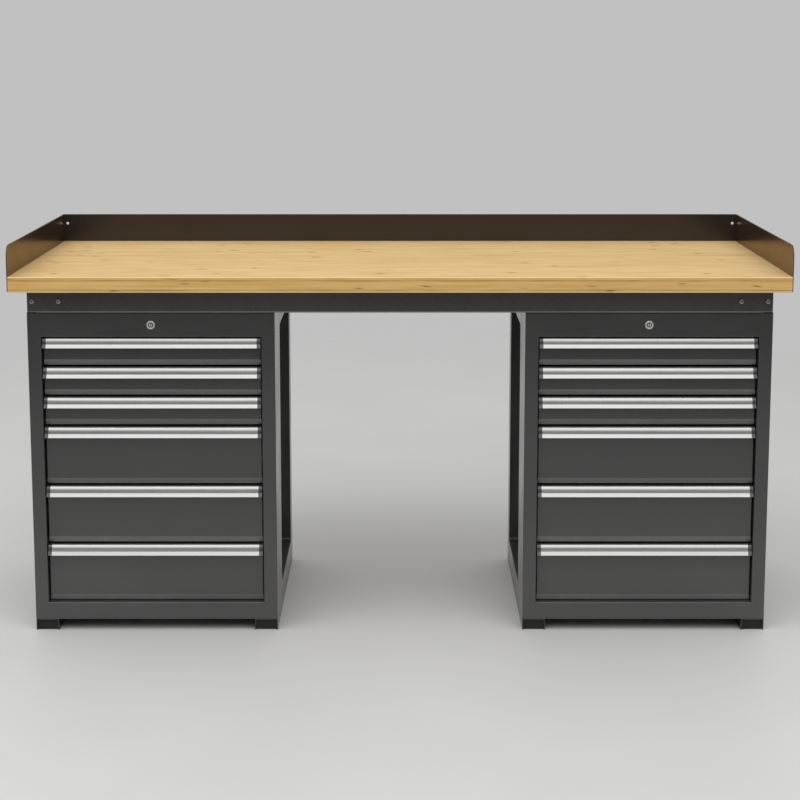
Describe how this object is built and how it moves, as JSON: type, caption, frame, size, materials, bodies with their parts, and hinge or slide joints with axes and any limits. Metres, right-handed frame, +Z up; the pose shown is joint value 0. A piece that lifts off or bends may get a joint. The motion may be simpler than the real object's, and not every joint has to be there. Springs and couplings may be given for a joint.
{
  "type": "workbench",
  "caption": "Long workbench with a thick wooden top, raised ledges on three sides, and a lockable drawer cabinet under each end with knee space between.",
  "frame": {"origin": "on the floor under the middle of the bench", "axes": "+X to the right along the bench, +Y from the drawers to the back ledge, +Z up"},
  "size_m": [2, 0.75, 1.03],
  "materials": {
    "bamboo": "oiled laminated bamboo board",
    "anthracite_paint": "fine-textured satin powder coat",
    "beam_paint": "fine-textured satin powder coat",
    "black_paint": "semi-gloss black powder coat",
    "satin_aluminium": "anodised extrusion, brushed along its length",
    "black_plastic": "moulded, satin",
    "zinc_steel": "zinc plated",
    "black_steel": "black oxide",
    "lock_chrome": "polished chrome plate"
  },
  "bodies": {
    "bench": {"worktop": "bamboo", "back_ledge": "black_paint", "left_side_ledge": "black_paint", "right_side_ledge": "black_paint", "wood_screws": "zinc_steel", "front_beam": "beam_paint", "rear_beam": "beam_paint", "cross_rails": "beam_paint", "frame_bolts": "black_steel", "skids": "black_paint", "back_panels": "anthracite_paint", "runner_posts": "anthracite_paint", "fixed_runners": "zinc_steel", "lock_housings": "lock_chrome", "left_front_frame": "anthracite_paint", "left_side_panels": "anthracite_paint", "left_pans": "anthracite_paint", "right_front_frame": "anthracite_paint", "right_side_panels": "anthracite_paint", "right_pans": "anthracite_paint"},
    "left_lock_plug": {"left_lock_plug": "lock_chrome"},
    "left_lock_bar": {"left_lock_bar": "zinc_steel"},
    "left_drawer_1": {"left_drawer_1_tray": "anthracite_paint", "left_drawer_1_handle": "satin_aluminium", "left_drawer_1_caps": "black_plastic"},
    "left_drawer_2": {"left_drawer_2_tray": "anthracite_paint", "left_drawer_2_handle": "satin_aluminium", "left_drawer_2_caps": "black_plastic"},
    "left_drawer_3": {"left_drawer_3_tray": "anthracite_paint", "left_drawer_3_handle": "satin_aluminium", "left_drawer_3_caps": "black_plastic"},
    "left_drawer_4": {"left_drawer_4_tray": "anthracite_paint", "left_drawer_4_handle": "satin_aluminium", "left_drawer_4_caps": "black_plastic"},
    "left_drawer_5": {"left_drawer_5_tray": "anthracite_paint", "left_drawer_5_handle": "satin_aluminium", "left_drawer_5_caps": "black_plastic"},
    "left_drawer_6": {"left_drawer_6_tray": "anthracite_paint", "left_drawer_6_handle": "satin_aluminium", "left_drawer_6_caps": "black_plastic"},
    "right_lock_plug": {"right_lock_plug": "lock_chrome"},
    "right_lock_bar": {"right_lock_bar": "zinc_steel"},
    "right_drawer_1": {"right_drawer_1_tray": "anthracite_paint", "right_drawer_1_handle": "satin_aluminium", "right_drawer_1_caps": "black_plastic"},
    "right_drawer_2": {"right_drawer_2_tray": "anthracite_paint", "right_drawer_2_handle": "satin_aluminium", "right_drawer_2_caps": "black_plastic"},
    "right_drawer_3": {"right_drawer_3_tray": "anthracite_paint", "right_drawer_3_handle": "satin_aluminium", "right_drawer_3_caps": "black_plastic"},
    "right_drawer_4": {"right_drawer_4_tray": "anthracite_paint", "right_drawer_4_handle": "satin_aluminium", "right_drawer_4_caps": "black_plastic"},
    "right_drawer_5": {"right_drawer_5_tray": "anthracite_paint", "right_drawer_5_handle": "satin_aluminium", "right_drawer_5_caps": "black_plastic"},
    "right_drawer_6": {"right_drawer_6_tray": "anthracite_paint", "right_drawer_6_handle": "satin_aluminium", "right_drawer_6_caps": "black_plastic"}
  },
  "joints": [
    {"name": "left_drawer_1_slide", "type": "slide", "parent": "bench", "child": "left_drawer_1", "axis": [0, -1, 0], "range_m": [0, 0.4]},
    {"name": "left_drawer_2_slide", "type": "slide", "parent": "bench", "child": "left_drawer_2", "axis": [0, -1, 0], "range_m": [0, 0.4]},
    {"name": "left_drawer_3_slide", "type": "slide", "parent": "bench", "child": "left_drawer_3", "axis": [0, -1, 0], "range_m": [0, 0.4]},
    {"name": "left_drawer_4_slide", "type": "slide", "parent": "bench", "child": "left_drawer_4", "axis": [0, -1, 0], "range_m": [0, 0.4]},
    {"name": "left_drawer_5_slide", "type": "slide", "parent": "bench", "child": "left_drawer_5", "axis": [0, -1, 0], "range_m": [0, 0.4]},
    {"name": "left_drawer_6_slide", "type": "slide", "parent": "bench", "child": "left_drawer_6", "axis": [0, -1, 0], "range_m": [0, 0.4]},
    {"name": "left_lock_bar_lift", "type": "slide", "parent": "bench", "child": "left_lock_bar", "axis": [0, 0, 1], "range_m": [0, 0.01414]},
    {"name": "left_lock_turn", "type": "hinge", "parent": "bench", "child": "left_lock_plug", "pos_m": [-0.642, -0.325, 0.8185], "axis": [0, 1, 0], "range_deg": [0, 90]},
    {"name": "right_drawer_1_slide", "type": "slide", "parent": "bench", "child": "right_drawer_1", "axis": [0, -1, 0], "range_m": [0, 0.4]},
    {"name": "right_drawer_2_slide", "type": "slide", "parent": "bench", "child": "right_drawer_2", "axis": [0, -1, 0], "range_m": [0, 0.4]},
    {"name": "right_drawer_3_slide", "type": "slide", "parent": "bench", "child": "right_drawer_3", "axis": [0, -1, 0], "range_m": [0, 0.4]},
    {"name": "right_drawer_4_slide", "type": "slide", "parent": "bench", "child": "right_drawer_4", "axis": [0, -1, 0], "range_m": [0, 0.4]},
    {"name": "right_drawer_5_slide", "type": "slide", "parent": "bench", "child": "right_drawer_5", "axis": [0, -1, 0], "range_m": [0, 0.4]},
    {"name": "right_drawer_6_slide", "type": "slide", "parent": "bench", "child": "right_drawer_6", "axis": [0, -1, 0], "range_m": [0, 0.4]},
    {"name": "right_lock_bar_lift", "type": "slide", "parent": "bench", "child": "right_lock_bar", "axis": [0, 0, 1], "range_m": [0, 0.01414]},
    {"name": "right_lock_turn", "type": "hinge", "parent": "bench", "child": "right_lock_plug", "pos_m": [0.642, -0.325, 0.8185], "axis": [0, 1, 0], "range_deg": [0, 90]}
  ],
  "couplings": [
    {"joint": "left_lock_turn", "follows": "left_lock_bar_lift", "rad_per_m": 111.07},
    {"joint": "right_lock_turn", "follows": "right_lock_bar_lift", "rad_per_m": 111.07}
  ]
}
